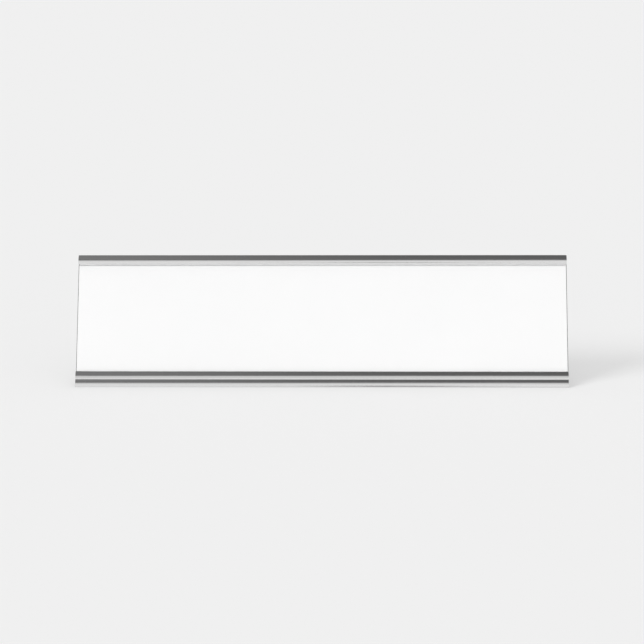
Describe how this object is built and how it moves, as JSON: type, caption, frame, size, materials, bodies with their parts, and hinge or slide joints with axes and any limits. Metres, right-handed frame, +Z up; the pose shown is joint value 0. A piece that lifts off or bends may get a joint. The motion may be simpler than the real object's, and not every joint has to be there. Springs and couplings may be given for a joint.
{
  "type": "desk name plate",
  "caption": "Free-standing desk name plate: a leaning extruded aluminium holder with hooked lips, a blank white insert that slides in from either end, and thin non-slip pads under its base.",
  "frame": {"origin": "on the desk, under the middle of the base", "axes": "+X along the plate, to the reader's right; the name faces -Y; +Z up"},
  "size_m": [0.254, 0.0381, 0.0633],
  "materials": {
    "bright_aluminium": "polished extrusion, clear anodised",
    "white_insert": "white satin face over a black core",
    "pad_rubber": "matt, non-slip"
  },
  "bodies": {
    "holder": {"holder": "bright_aluminium", "foot_pad_front_left": "pad_rubber", "foot_pad_front_right": "pad_rubber", "foot_pad_rear_left": "pad_rubber", "foot_pad_rear_right": "pad_rubber"},
    "insert": {"name_insert": "white_insert"}
  },
  "joints": [
    {"name": "insert_slide", "type": "slide", "parent": "holder", "child": "insert", "axis": [1, 0, 0], "range_m": [-0.256, 0.256]}
  ]
}
